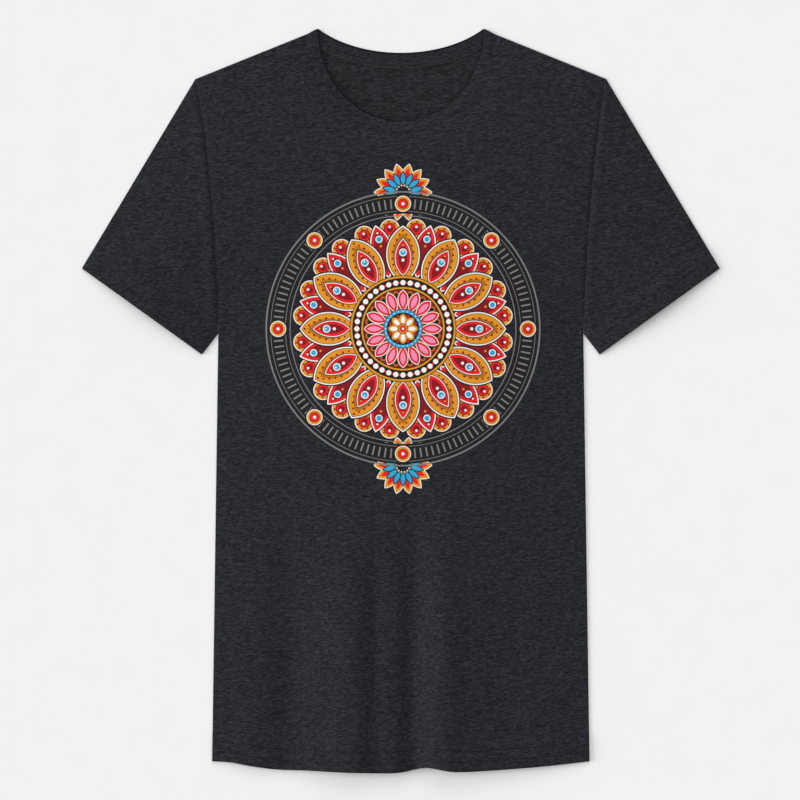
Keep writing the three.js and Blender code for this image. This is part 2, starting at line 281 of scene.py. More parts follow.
BACK_NECK_TILT = math.sqrt(1 - (NECK_HALF_WIDTH / BACK_NECK_HALF_SPAN) ** 2)
BACK_NECK_HEIGHT = BACK_NECK_DROP / (1 - BACK_NECK_TILT)
BACK_NECK_CENTRE = NECK_Y - BACK_NECK_DROP + BACK_NECK_HEIGHT


def back_neck(share, outward):
    """The back neckline is a shallow arc that meets the front's on the shoulder line."""
    end = front_neck(shoulder_crossing(outward), outward) if outward > 0 else NECK_POINT
    height = BACK_NECK_HEIGHT + outward
    half_span = end.x / math.sqrt(1 - ((BACK_NECK_CENTRE - end.y) / height) ** 2)
    x = share * end.x
    return Vector((x, BACK_NECK_CENTRE - height * math.sqrt(1 - (x / half_span) ** 2)))


# How the layers lie
CLOSED_EDGES = [
    (start, end - start)
    for start, end in (
        (NECK_POINT, SHOULDER_POINT),
        (SHOULDER_POINT, SLEEVE_TIP),
        (CUFF_CORNER, UNDERARM_POINT),
        (UNDERARM_POINT, HEM_POINT),
    )
]


def distance_from_edge(x, y):
    """Distance in from the edges along which the two layers are joined, and 0 outside them."""
    softness = 4
    tie = 1e-9
    nearest = math.inf
    inside = True
    total = 0.0
    for side in (1, -1):
        for start, along in CLOSED_EDGES:
            offset_x = side * x - start.x
            offset_y = y - start.y
            share = (offset_x * along.x + offset_y * along.y) / along.length_squared
            share = min(max(share, 0.0), 1.0)
            distance = math.hypot(offset_x - along.x * share, offset_y - along.y * share)
            on_cloth = along.x * offset_y - along.y * offset_x <= 0
            if distance < nearest - tie:
                inside = on_cloth
            elif distance < nearest + tie:
                inside = inside or on_cloth
            nearest = min(nearest, distance)
            total += max(distance, tie) ** -softness
    return total ** (-1 / softness) if inside else 0.0


def neck_sink(x, y):
    """Share by which the top layer lies lower: most at the neckline, fading outside the neckband."""
    across = x / (NECK_HALF_WIDTH + BAND_SEAM)
    down = (NECK_Y - y) / (FRONT_NECK_DROP + BAND_SEAM)
    outward = (math.hypot(across, down) - 1) * FRONT_NECK_DROP
    around = NECK_SINK * (1 - smoothstep(outward / NECK_SINK_RUN))
    return around + BAND_SINK * smoothstep(-outward / BAND_WIDTH)


def rise(x, y, depth):
    """Rise of the top layer above its height at the closed edges."""
    dome = 1 - (1 - min(depth / LOFT_RUN, 1)) ** 2
    droop = HEM_DROOP * (1 - smoothstep(above_hem(x, y) / HEM_DROOP_RUN))
    fade = smoothstep((HEM_Y + FOLD_START - y) / FOLD_RUN) * smoothstep(depth / FOLD_SETBACK)
    folds = sum(height * bell(x - at, width) for at, height, width in FOLDS)
    return (LOFT - droop) * dome * (1 - neck_sink(x, y)) + fade * folds


def wrinkles(x, y, depth):
    """Slight unevenness of the top layer, away from the joined edges."""
    broad = BROAD_WRINKLES * unevenness(x, y, BROAD_GRAIN)
    small = SMALL_WRINKLES * unevenness(x, y, SMALL_GRAIN)
    return (broad + small) * smoothstep(depth / WRINKLE_SETBACK)


def nearness(points):
    """A function for the distance from a line of points to a place in the plane."""
    tree = kdtree.KDTree(len(points))
    for i, point in enumerate(points):
        tree.insert(point.to_3d(), i)
    tree.balance()
    return lambda x, y: tree.find((x, y, 0.0))[2]


SEAM_STEP = 0.5 * MM
armhole_steps = round(ARMHOLE.length / SEAM_STEP)
from_armhole = nearness([ARMHOLE.at(i / armhole_steps) for i in range(armhole_steps + 1)])


def necklines(seam_curve):
    """The points of a neckline's seam from the right shoulder to the left one."""
    steps = 240
    return [seam_curve(i / steps) for i in range(steps + 1)]


SEAM_START = shoulder_crossing(BAND_SEAM)
SEAM_SWEEP = math.pi - 2 * SEAM_START
FRONT_SEAM = necklines(lambda t: front_neck(math.pi - SEAM_START - t * SEAM_SWEEP, BAND_SEAM))
BACK_SEAM = necklines(lambda t: back_neck(2 * t - 1, BAND_SEAM))
from_neck_seam = nearness(FRONT_SEAM)


def above_hem(x, y):
    """Distance above the hem's edge."""
    return y - HEM_Y - hem_rise(x)


def inside_cuff(x, y):
    """Distance in from a cuff's edge."""
    return (Vector((abs(x), y)) - SLEEVE_TIP).dot(CUFF_INWARD)


def free(depth):
    """How freely the top layer moves down: little at the joined edges, with the other layer close."""
    return CLOSED_FREEDOM + (1 - CLOSED_FREEDOM) * smoothstep(depth / FREE_RUN)


def turned_edge(distance, turn, rows, along, draw):
    """Lift of a hem's top layer: its turned edge under it, drawn down at the rows of stitches."""
    lower, upper = rows
    lift = HEM_LIFT * (1 - smoothstep((distance - turn) / HEM_SETTLE))
    puff = HEM_PUFF * bell(distance - (lower + upper) / 2, (upper - lower) / 2)
    puff += EDGE_PUFF * bell(distance - lower / 2, lower / 2)
    grooves = bell(distance - lower, GROOVE_WIDTH)
    grooves += UPPER_ROW_DRAW * bell(distance - upper, GROOVE_WIDTH)
    near = 1 - smoothstep((distance - turn) / PUCKER_RUN)
    pucker = PUCKER * near * unevenness(along, distance, PUCKER_GRAIN)
    return lift + puff + pucker - draw * grooves


def seam_dip(distance):
    """Both cloths of a seam turn down into it."""
    return -SEAM_DRAW * bell(distance, SEAM_WIDTH)


def neck_seam_draw(x):
    """How far the neckband's seam is drawn down: most of all at the middle of the front."""
    at, width = NECK_DRAW
    return bell(x - at, width)


def front_height(x, y):
    """Middle of the front panel's cloth."""
    depth = distance_from_edge(x, y)
    height = TOP_LAYER + rise(x, y, depth) + wrinkles(x, y, depth)
    height += turned_edge(above_hem(x, y), HEM_TURN, HEM_STITCHES, x, HEM_DRAW * free(depth))
    from_underarm = smoothstep((y - UNDERARM_POINT.y) / UNDERARM_EASE)
    height += seam_dip(from_armhole(abs(x), y)) * from_underarm * free(depth)
    height += neck_seam_draw(x) * seam_dip(from_neck_seam(x, y))
    return height


def sleeve_height(x, y):
    """Middle of a sleeve's upper cloth. The seam's turned edges raise it a little next to the armhole."""
    depth = distance_from_edge(x, y)
    seam = from_armhole(abs(x) - SEAM_GAP, y)
    height = TOP_LAYER + rise(x, y, depth) + wrinkles(x, y, depth)
    height += turned_edge(inside_cuff(x, y), CUFF_TURN, CUFF_STITCHES, y, CUFF_DRAW * free(depth))
    height += seam_dip(seam) * free(depth)
    ridge, at, width = SEAM_RIDGE
    return height + ridge * bell(seam - at, width) * smoothstep(depth / SEAM_RIDGE_RUN)


# Making pieces
def laid_grid(columns, rows, place):
    """A grid whose crossings are moved to the place given for their column and row.

    place returns a point in space and its place on the flat pattern, which becomes the UV map.
    """
    mesh = bmesh.new()
    bmesh.ops.create_grid(mesh, x_segments=columns, y_segments=rows, size=1)
    pattern = {}
    for vertex in mesh.verts:
        column = round((vertex.co.x + 1) / 2 * columns)
        row = round((vertex.co.y + 1) / 2 * rows)
        vertex.co, pattern[vertex] = place(column, row)
    uv = mesh.loops.layers.uv.new("pattern")
    for face in mesh.faces:
        for loop in face.loops:
            loop[uv].uv = pattern[loop.vert]
    return mesh


def finished(mesh, name, material, thickness=0.0):
    """The object made of a mesh, given its cloth's thickness, riding with the shirt."""
    for face in mesh.faces:
        face.smooth = True
    data = bpy.data.meshes.new(name)
    mesh.to_mesh(data)
    mesh.free()
    data.materials.append(material)
    piece = bpy.data.objects.new(name, data)
    bpy.context.scene.collection.objects.link(piece)
    if thickness:
        wall = piece.modifiers.new("thickness", "SOLIDIFY")
        wall.thickness = thickness
        wall.offset = 0
    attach(piece, "root")
    return piece


def plan_area(points):
    """Area inside a closed outline."""
    pairs = zip(points, points[1:] + points[:1])
    return abs(sum(a.x * b.y - b.x * a.y for a, b in pairs)) / 2


# Rows and columns of the cloths' meshes
HEM_ZONE = 26 * MM                  # the rows lie close together up to here, past the turned hem
CUFF_ZONE = 24 * MM
ROW_STEP = 0.5 * MM
FOLD_STEPS = 6                      # round a folded edge
BODY_ROWS = 128                     # from the hem's zone to the underarm
ARMHOLE_ROWS = 88
ARMHOLE_CROWDING = 1.15             # they crowd together towards the shoulder
SHOULDER_COLUMNS = 26
SHOULDER_CROWDING = 1.35            # they crowd together towards the armhole
NECK_COLUMNS = 100


def turned_rows(turn, stitches, zone):
    """Rows across a turned hem, from its raw edge inside, round the fold and up the outside.

    Each is a distance in from the folded edge, and a height from -1 inside to 1 outside. They lie
    close together on the inside too where stitches draw it in.
    """
    radius = FOLDED_GAP / 2
    grooves = [stitch + step * GROOVE_WIDTH for stitch in stitches for step in GROOVE_ROWS]
    inside = [stitches[0] / 2] + sorted(distance for distance in grooves if distance < turn) + [turn]
    rows = [(distance, -1.0) for distance in reversed(inside)]
    for i in range(FOLD_STEPS + 1):
        angle = math.pi * (i / FOLD_STEPS - 0.5)
        rows.append((radius - radius * math.cos(angle), math.sin(angle)))
    steps = round(zone / ROW_STEP)
    return rows + [(zone * i / steps, 1.0) for i in range(1, steps)]


HEM_ROWS = turned_rows(HEM_TURN, HEM_STITCHES, HEM_ZONE)


class Panel:
    """A body panel's plan. Across runs from the wearer's right to left, and up from hem to neck."""

    def __init__(self, neck_seam):
        side = Path([HEM_POINT, UNDERARM_POINT] + ARMHOLE.points[-2::-1])
        self.sides = (side.mirrored(), side)
        right_shoulder = Vector((-SHOULDER_POINT.x, SHOULDER_POINT.y))
        self.top = Path([right_shoulder] + neck_seam + [SHOULDER_POINT])
        self.outline = side.mirrored().points + neck_seam + side.points[::-1]
        shoulder = (neck_seam[0] - right_shoulder).length / self.top.length
        edge = [
            shoulder * (i / SHOULDER_COLUMNS) ** SHOULDER_CROWDING for i in range(SHOULDER_COLUMNS + 1)
        ]
        neck = [shoulder + stop for stop in spread((1 - 2 * shoulder, NECK_COLUMNS))[1:-1]]
        self.columns = edge + neck + [1 - stop for stop in edge[::-1]]
        underarm = (HEM_POINT - UNDERARM_POINT).length / side.length
        zone = HEM_ZONE / self.length_at(0.0)
        bend = (underarm - zone) / (1 - zone)
        upper = [
            bend + (1 - bend) * (1 - (1 - i / ARMHOLE_ROWS) ** ARMHOLE_CROWDING)
            for i in range(1, ARMHOLE_ROWS + 1)
        ]
        self.rows = HEM_ROWS + [(share, None) for share in spread((bend, BODY_ROWS)) + upper]

    def length_at(self, across):
        return (self.top.at(across) - self.hem(across)).length

    def hem(self, across):
        x = (2 * across - 1) * HEM_HALF_WIDTH
        return Vector((x, HEM_Y + hem_rise(x)))

    def at(self, across, up):
        """A place between the four edges."""
        right, left = (side.at(up) for side in self.sides)
        bottom = self.hem(across).lerp(self.top.at(across), up)
        ends = right.lerp(left, across)
        corner_right = self.hem(0.0).lerp(self.top.at(0.0), up)
        corner_left = self.hem(1.0).lerp(self.top.at(1.0), up)
        return bottom + ends - corner_right.lerp(corner_left, across)

    def above_hem(self, across, distance):
        return self.at(across, distance / self.length_at(across))

    def area(self, turn):
        return plan_area(self.outline) + 2 * HEM_HALF_WIDTH * turn

    def size(self, turn):
        return 2 * SHOULDER_HALF_WIDTH, self.top.at(PANEL_LENGTH_AT).y - HEM_Y + turn


def make_panel(panel, height, outward):
    """A panel's cloth with its turned hem. Outward is 1 for the front, and -1 for the back."""
    zone = [HEM_ZONE / panel.length_at(across) for across in panel.columns]

    def place(column, row):
        across = panel.columns[column]
        distance, side = panel.rows[row]
        if side is None:
            up = zone[column] + distance * (1 - zone[column])
            plan = panel.at(across, up)
            return Vector((plan.x, plan.y, height(plan.x, plan.y))), plan
        plan = panel.above_hem(across, distance)
        lie = height(plan.x, plan.y) - outward * (1 - side) * FOLDED_GAP / 2
        pattern = plan if side > 0 else Vector((plan.x, 2 * panel.hem(across).y - plan.y))
        return Vector((plan.x, plan.y, lie)), pattern

    return laid_grid(len(panel.columns) - 1, len(panel.rows) - 1, place)


def back_height(x, y):
    """Middle of the back panel's cloth, which lies on the floor."""
    depth = distance_from_edge(x, y)
    wrinkled = BACK_WRINKLES * (1 + unevenness(x, y, BACK_GRAIN))
    return FLOOR_LAYER + wrinkled * smoothstep(depth / WRINKLE_SETBACK)


# Sleeves: one layer of cloth all round, flattened, with its cuff turned in
def tube_section(below, above, nose):
    """Stations once round a flattened tube, from the underarm along the floor to the fold and back.

    Each has its share of the way across, its height from -1 to 1, and how far it stands out.
    """
    arc = [math.pi * (i / nose - 0.5) for i in range(1, nose)]
    stations = [(i / below, -1.0, 0.0) for i in range(below + 1)]
    stations += [(1.0, math.sin(a), math.cos(a)) for a in arc]
    stations += [(1 - i / above, 1.0, 0.0) for i in range(above + 1)]
    stations += [(0.0, math.sin(a), -math.cos(a)) for a in reversed(arc)]
    return stations + stations[:1]


SLEEVE_SECTION = tube_section(below=40, above=84, nose=FOLD_STEPS)
CUFF_ROWS = turned_rows(CUFF_TURN, CUFF_STITCHES, CUFF_ZONE)
# Past the cuff, the rows crowd together next to the armhole
SLEEVE_ROWS = CUFF_ROWS + [(share, None) for share in spread((0.9, 74), (1.0, 14))]
SLEEVE_WELD = 0.02 * MM             # points of the mesh closer than this are one


def sleeve_plan(across, up):
    """A place on a sleeve: across from the underarm to the fold, up from the cuff to the armhole."""
    seam = ARMHOLE.at(1 - across) + Vector((SEAM_GAP, 0))
    return CUFF.at(1 - across).lerp(seam, up)


def make_sleeve(side):
    """A sleeve's cloth, on the wearer's left for side 1 and right for side -1."""

    def place(column, row):
        share, level, out = SLEEVE_SECTION[column]
        distance, turned = SLEEVE_ROWS[row]
        length = (CUFF.at(1 - share) - ARMHOLE.at(1 - share)).length
        zone = CUFF_ZONE / length
        up = zone + distance * (1 - zone) if turned is None else distance / length
        inset = 0.0 if turned is None else (1 - turned) * FOLDED_GAP / 2
        width = ARMHOLE.length * up + CUFF.length * (1 - up)
        middle = sleeve_plan(share, up)
        lift = turned_edge(inside_cuff(middle.x, middle.y), CUFF_TURN, CUFF_STITCHES, middle.y, 0.0)
        radius = (TOP_LAYER - FLOOR_LAYER + lift) / 2
        across = (radius + (width - 2 * radius) * share + out * (radius - inset)) / width
        plan = sleeve_plan(min(max(across, 0.0), 1.0), up)
        x = side * plan.x
        if level == 1.0:
            z = sleeve_height(x, plan.y) - inset
        else:
            z = FLOOR_LAYER + radius + level * (radius - inset)
        around = share if level < 0 else 2 - share
        return Vector((x, plan.y, z)), Vector((around * width, up * length))

    mesh = laid_grid(len(SLEEVE_SECTION) - 1, len(SLEEVE_ROWS) - 1, place)
    bmesh.ops.remove_doubles(mesh, verts=mesh.verts, dist=SLEEVE_WELD)
    bmesh.ops.recalc_face_normals(mesh, faces=mesh.faces)
    return mesh


# Neckband: a doubled strip that runs round the front, folds over at each neck point, and runs
# back behind the neck. Its folded edge is the neckline.
def band_pinch(across):
    """The doubled strip is pressed thin towards its seam."""
    start, width = BAND_PRESS
    return smoothstep((across - start) / width)


def band_profile(steps):
    """Points round the strip's section: across from the folded edge, and out from its middle."""
    half = BAND_THICKNESS / 2
    upper = []
    for i in range(steps + 1):
        across = BAND_WIDTH * (1 - math.cos(math.pi * i / steps)) / 2
        fold = math.sqrt(max(1 - (1 - min(across / (FOLD_ROUNDING * half), 1)) ** 2, 0.0))
        sewn = 1 - SEWN_THINNING * band_pinch(across)
        puff = 1 + BAND_PUFF * math.sin(math.pi * across / BAND_WIDTH)
        upper.append((across, half * fold * sewn * puff))
    return upper + [(across, -out) for across, out in reversed(upper[1:])]


BAND_STEPS = (200, 14, 90)          # along the front, round the fold at a neck point, along the back
BAND_PROFILE_STEPS = 14
BAND_WELD = 0.005 * MM
BAND_PATTERN = (1.6 * MM, 1.1 * MM)     # a step of the band's mesh on its flat pattern, along and round


def make_neckband():
    """The ring of the neckband."""
    half = BAND_THICKNESS / 2
    fold = (half * (1 + BAND_PUFF), half + BAND_THICKNESS + SEAM_GAP)
    settle = fold[1] - half - (TOP_LAYER - CLOTH / 2)

    def layers(across):
        """Heights of the band's lower and upper part at a neck point."""
        pinch = band_pinch(across)
        return fold[0] + (FLOOR_LAYER - fold[0]) * pinch, fold[1] + (TOP_LAYER - fold[1]) * pinch

    seam_start = shoulder_crossing(BAND_EDGE)
    seam_end = front_neck(seam_start, BAND_EDGE)
    profile = band_profile(BAND_PROFILE_STEPS)
    profile.append(profile[0])

    def on_front(share, across, out):
        edge = front_neck(math.pi * share, 0)
        seam = front_neck(seam_start + share * (math.pi - 2 * seam_start), BAND_EDGE)
        plan = edge.lerp(seam, across / BAND_WIDTH)
        depth = distance_from_edge(plan.x, plan.y)
        settled = settle * (1 - band_pinch(across))
        lie = layers(across)[1] - settled * smoothstep(depth / BAND_SETTLE)
        dip = neck_seam_draw(plan.x) * seam_dip(BAND_WIDTH - across)
        wave = BAND_WAVE * unevenness(plan.x, plan.y, BAND_WAVE_GRAIN) * smoothstep(depth / BAND_SETTLE)
        z = lie + dip + rise(plan.x, plan.y, depth) + wave + out
        return Vector((plan.x, plan.y, z))

    def on_fold(share, across, out, side):
        turn = math.pi * (0.5 - share)
        rounded = math.sqrt(1 - (1 - min(across / TIP_ROUNDING, 1)) ** 2)
        drawn_in = 1 - TIP_DRAW * smoothstep(across / BAND_WIDTH)
        low, high = layers(across)
        radius = (high - low) / 2 + out
        reach = radius * math.cos(turn) * rounded * drawn_in
        plan = NECK_POINT.lerp(seam_end, across / BAND_WIDTH) + SHOULDER_NORMAL * reach
        return Vector((side * plan.x, plan.y, (low + high) / 2 + radius * math.sin(turn)))

    def on_back(share, across, out):
        place = 2 * share - 1
        plan = back_neck(place, 0).lerp(back_neck(place, BAND_EDGE), across / BAND_WIDTH)
        return Vector((plan.x, plan.y, layers(across)[0] - out))

    front, fold_over, back = ([i / steps for i in range(steps)] for steps in BAND_STEPS)
    stations = [(on_front, share, ()) for share in front]
    stations += [(on_fold, share, (-1,)) for share in fold_over]
    stations += [(on_back, share, ()) for share in back]
    stations += [(on_fold, 1 - share, (1,)) for share in fold_over]
    stations.append(stations[0])

    def place(column, row):
        lay, share, more = stations[column]
        across, out = profile[row]
        return lay(share, across, out, *more), Vector((column * BAND_PATTERN[0], row * BAND_PATTERN[1]))

    mesh = laid_grid(len(stations) - 1, len(profile) - 1, place)
    bmesh.ops.remove_doubles(mesh, verts=mesh.verts, dist=BAND_WELD)
    bmesh.ops.recalc_face_normals(mesh, faces=mesh.faces)
    middle = [lay(share, BAND_WIDTH / 2, 0.0, *more) for lay, share, more in stations]
    return mesh, sum((b - a).length for a, b in zip(middle, middle[1:]))


def tape_height(outward):
    """Middle of the tape, whose upper half lies on the band and lower half on the back panel."""
    on_band = BAND_THICKNESS - TAPE_BED
    on_panel = FLOOR_LAYER + CLOTH / 2 + TAPE_CLEARANCE
    start, width = TAPE_STEP
    step = smoothstep((outward - BAND_WIDTH + start) / width)
    return on_band + (on_panel - on_band) * step + TAPE_THICKNESS / 2


TAPE_REACH = 1 - TAPE_SETBACK / NECK_HALF_WIDTH     # share of the neckline that the tape covers


def make_neck_tape():
    """A narrow twill strip over the seam inside the back of the neck."""
    columns = 90
    rows = 10

    def place(column, row):
        share = TAPE_REACH * (2 * column / columns - 1)
        outward = BAND_WIDTH + TAPE_WIDTH * (0.5 - row / rows)
        plan = back_neck(share, outward)
        return Vector((plan.x, plan.y, tape_height(outward))), plan

    return laid_grid(columns, rows, place)


# Stitches
STITCH_SPACING = 2.5 * MM
STITCH_SIZE = Vector((1.15 * MM, 0.42 * MM, 0.17 * MM))
HEM_STITCH_LIFT = 0.06 * MM         # its middle stands this far above the cloth
CUFF_STITCH_LIFT = -0.08 * MM
CUFF_STITCH_SPAN = (0.02, 0.97)     # a row runs between these shares of the way along the cuff
TAPE_STITCH_MARGIN = 1.1 * MM       # from the tape's edge


def stitch_row(mesh, path, height):
    """Stitches along a path, each a small flattened bead lying on the cloth."""
    count = round(path.length / STITCH_SPACING)
    for i in range(count):
        middle = path.at((i + 0.5) / count)
        ahead = path.at((i + 0.6) / count) - path.at((i + 0.4) / count)
        heading = math.atan2(ahead.y, ahead.x)
        place = Matrix.Translation((middle.x, middle.y, height(middle.x, middle.y)))
        turn = Matrix.Rotation(heading, 4, "Z")
        bmesh.ops.create_icosphere(
            mesh, subdivisions=1, radius=1, matrix=place @ turn @ Matrix.Diagonal(STITCH_SIZE.to_4d())
        )


def make_hem_stitches(panel):
    """Two rows of stitches along the front hem."""
    mesh = bmesh.new()
    steps = 80
    for row in HEM_STITCHES:
        path = Path(panel.above_hem(i / steps, row) for i in range(1, steps))
        stitch_row(mesh, path, lambda x, y: front_height(x, y) + CLOTH / 2 + HEM_STITCH_LIFT)
    return mesh


def make_cuff_stitches(side):
    """Two rows of stitches along a cuff."""
    mesh = bmesh.new()
    for row in CUFF_STITCHES:
        path = Path(CUFF.at(share) + CUFF_INWARD * row for share in CUFF_STITCH_SPAN)
        path = path if side > 0 else path.mirrored()
        stitch_row(mesh, path, lambda x, y: sleeve_height(x, y) + CLOTH / 2 + CUFF_STITCH_LIFT)
    return mesh


def make_tape_stitches():
    """A row of stitches along each edge of the neck tape."""
    mesh = bmesh.new()
    steps = 60
    for edge in (-1, 1):
        outward = BAND_WIDTH + edge * (TAPE_WIDTH / 2 - TAPE_STITCH_MARGIN)
        path = Path(back_neck(TAPE_REACH * (2 * i / steps - 1), outward) for i in range(steps + 1))
        top = tape_height(outward) + TAPE_THICKNESS / 2
        stitch_row(mesh, path, lambda x, y: top)
    return mesh


# Materials
INK_STRENGTH = 0.92                 # printed on cloth, a colour keeps this share of its brightness


def ink(code, strength=INK_STRENGTH):
    """A printed colour, given as six hexadecimal digits of its screen colour."""
    parts = [int(code[i:i + 2], 16) / 255 for i in (0, 2, 4)]
    linear = [((c + 0.055) / 1.055) ** 2.4 if c > 0.04045 else c / 12.92 for c in parts]
    return [channel * strength for channel in linear] + [1.0]


class Shader:
    """Adds nodes to a tree. An input takes a number, a colour or another node's output."""

    def __init__(self, tree):
        self.tree = tree
        self.tree.nodes.clear()

    def join(self, value, socket):
        if isinstance(value, bpy.types.NodeSocket):
            self.tree.links.new(value, socket)
        else:
            socket.default_value = value

    def node(self, kind, inputs, **settings):
        made = self.tree.nodes.new(kind)
        for name, value in settings.items():
            setattr(made, name, value)
        for name, value in inputs.items():
            self.join(value, made.inputs[name])
        return made

    def math(self, operation, *values, clamp=False):
        inputs = dict(enumerate(values))
        return self.node("ShaderNodeMath", inputs, operation=operation, use_clamp=clamp).outputs[0]

    def vector(self, operation, *values):
        inputs = dict(enumerate(values))
        return self.node("ShaderNodeVectorMath", inputs, operation=operation).outputs[0]

    def mix(self, share, under, over):
        inputs = {0: share, 6: under, 7: over}
        return self.node("ShaderNodeMix", inputs, data_type="RGBA").outputs[2]

    def scale(self, colour, share):
        inputs = {0: colour, "Scale": share}
        return self.node("ShaderNodeVectorMath", inputs, operation="SCALE").outputs[0]

    def group(self, tree, inputs):
        made = self.node("ShaderNodeGroup", {}, node_tree=tree)
        for name, value in inputs.items():
            self.join(value, made.inputs[name])
        return made.outputs

    def noise(self, vector, grain, detail, offset=(0, 0, 0)):
        """Noise with so many grains to the metre along each axis, moved by an offset in grains."""
        place = self.vector("MULTIPLY_ADD", vector, grain, offset)
        inputs = {"Vector": place, "Scale": 1.0, "Detail": detail}
        return self.node("ShaderNodeTexNoise", inputs).outputs["Fac"]

    def ramp(self, value, low, high, least=0.0, most=1.0):
        inputs = {"Value": value, "From Min": low, "From Max": high, "To Min": least, "To Max": most}
        return self.node("ShaderNodeMapRange", inputs).outputs["Result"]


def new_group(name, inputs, outputs):
    """A node group, with the shader that fills it, its inputs and its output sockets."""
    tree = bpy.data.node_groups.new(name, "ShaderNodeTree")
    kinds = {"value": "NodeSocketFloat", "colour": "NodeSocketColor", "vector": "NodeSocketVector"}
    shader = Shader(tree)
    for title, kind in inputs.items():
        tree.interface.new_socket(title, in_out="INPUT", socket_type=kinds[kind])
    for title, kind in outputs.items():
        tree.interface.new_socket(title, in_out="OUTPUT", socket_type=kinds[kind])
    start = tree.nodes.new("NodeGroupInput")
    end = tree.nodes.new("NodeGroupOutput")
    return tree, shader, start.outputs, end.inputs


# Heather: how many streaks and fibres there are to the metre along, across and through the cloth
STREAK_GRAIN = (190, 700, 700)
LONG_GRAIN = (65, 560, 560)
FIBRE_GRAIN = (300, 1500, 1500)
FLECK_GRAIN = (150, 800, 800)
FLECK_OFFSET = (7.3, 2.9, 1.1)      # so that the flecks don't follow the streaks
WAVE_GRAIN = (55, 90, 90)
WAVE_HEIGHT = 4.5 * MM
NOISE_RANGE = (0.3, 0.7)            # a noise keeps to this range but for its rare peaks
LONG_SHARE = 0.2                    # how much long streaks and single fibres change the tone
FIBRE_SHARE = 0.3
TONE_CURVE = 1.5                    # above 1, the lighter yarn shows less
FLECK_RANGE = (0.68, 0.82)          # flecks of the lightest fibre show at these peaks of their noise
LOOP_WIDTH = 0.85 * MM
LOOP_HEIGHT = 0.7 * MM
LOOP_SLANT = 0.55                   # how far the V of a loop slants, as a share of its height
LOOP_FULLNESS = 3.0                 # higher is fuller, with a narrower valley between columns
LOOP_ENDS = 0.4                     # a loop's height at its ends, as a share of its middle's
KNIT_PAINTED_SHADING = (0.86, 1.08)            # painted shade in the valleys between the loops and painted light on their tops: brightness there


def make_heather_group():
    """Heather jersey: short wavy streaks of lighter and darker fibre over a fine knit."""
    tree, s, given, out = new_group(
        "heather_jersey_yarn",
        {"Vector": "vector", "Dark": "colour", "Light": "colour", "Fleck": "colour", "Slant": "value"},
        {"Colour": "colour", "Height": "value"},
    )
    turned = s.node(
        "ShaderNodeVectorRotate",
        {"Vector": given["Vector"], "Angle": given["Slant"]},
        rotation_type="Z_AXIS",
    ).outputs[0]
    wave = s.noise(turned, WAVE_GRAIN, 1.0)
    aside = s.math("MULTIPLY_ADD", wave, WAVE_HEIGHT, -WAVE_HEIGHT / 2)
    lain = s.vector("ADD", turned, s.node("ShaderNodeCombineXYZ", {"Y": aside}).outputs[0])
    streaks = s.noise(lain, STREAK_GRAIN, 2.0)
    long_streaks = s.ramp(s.noise(lain, LONG_GRAIN, 2.0), *NOISE_RANGE, -LONG_SHARE, LONG_SHARE)
    fibres = s.ramp(s.noise(lain, FIBRE_GRAIN, 1.0), *NOISE_RANGE, -FIBRE_SHARE, FIBRE_SHARE)
    tone = s.math("ADD", s.ramp(streaks, *NOISE_RANGE), long_streaks)
    tone = s.math("ADD", tone, fibres, clamp=True)
    colour = s.mix(s.math("POWER", tone, TONE_CURVE), given["Dark"], given["Light"])
    flecks = s.noise(lain, FLECK_GRAIN, 1.0, offset=FLECK_OFFSET)
    colour = s.mix(s.ramp(flecks, *FLECK_RANGE), colour, given["Fleck"])
    # Jersey face: columns of V-shaped loops
    place = s.node("ShaderNodeSeparateXYZ", {"Vector": given["Vector"]}).outputs
    column = s.math("FRACT", s.math("MULTIPLY", place["X"], 1 / LOOP_WIDTH))
    valley = s.math("ABSOLUTE", s.math("MULTIPLY_ADD", column, 2.0, -1.0))
    slant = s.math("MULTIPLY", valley, LOOP_SLANT)
    course = s.math("MULTIPLY_ADD", place["Y"], 1 / LOOP_HEIGHT, slant)
    loop = s.math("SINE", s.math("MULTIPLY", s.math("FRACT", course), math.pi))
    body = s.math("SUBTRACT", 1.0, s.math("POWER", valley, LOOP_FULLNESS))
    knit = s.math("MULTIPLY", body, s.math("MULTIPLY_ADD", loop, 1 - LOOP_ENDS, LOOP_ENDS))
    # painted shade in the knit's valleys and painted light on its loops, following the loops' height
    s.join(s.scale(colour, s.ramp(knit, 0, 1, *KNIT_PAINTED_SHADING)), out["Colour"])
    s.join(s.math("MULTIPLY_ADD", knit, 0.5, s.math("MULTIPLY", streaks, 0.5)), out["Height"])
    return tree


def make_fold_group():
    """Fine shape of the soft folds above the hem, in millimetres."""
    tree, s, given, out = new_group("soft_folds", {"Vector": "vector"}, {"Height": "value"})
    place = s.node("ShaderNodeSeparateXYZ", {"Vector": given["Vector"]}).outputs
    total = 0.0
    for at, height, width in FOLDS:
        across = s.math("MULTIPLY_ADD", place["X"], 1 / width, -at / width)
        peak = s.math("EXPONENT", s.math("MULTIPLY", s.math("MULTIPLY", across, across), -1.0))
        total = s.math("MULTIPLY_ADD", peak, FOLD_RELIEF * height / MM, total)
    top = HEM_Y + FOLD_START
    fade = s.ramp(place["Y"], top, top - FOLD_RUN)
    s.join(s.math("MULTIPLY", total, fade), out["Height"])
    return tree


def new_ring_group(name, *sizes):
    """A group for a shape that stands all round a ring, with the shape's sizes as inputs.

    Comes with how far a place is from the middle line of the nearest shape, and its angle there.
    """
    inputs = dict.fromkeys(("Radius", "Angle", "Count", "Turn", "Middle") + sizes, "value")
    tree, s, given, out = new_group(name, inputs, {"Distance": "value"})
    step = s.math("DIVIDE", 2 * math.pi, given["Count"])
    turns = s.math("ADD", s.math("DIVIDE", given["Angle"], step), given["Turn"])
    angle = s.math("MULTIPLY", s.math("SUBTRACT", turns, s.math("ROUND", turns)), step)
    beside = s.math("ABSOLUTE", s.math("MULTIPLY", given["Radius"], s.math("SINE", angle)))
    return tree, s, given, out, beside, angle


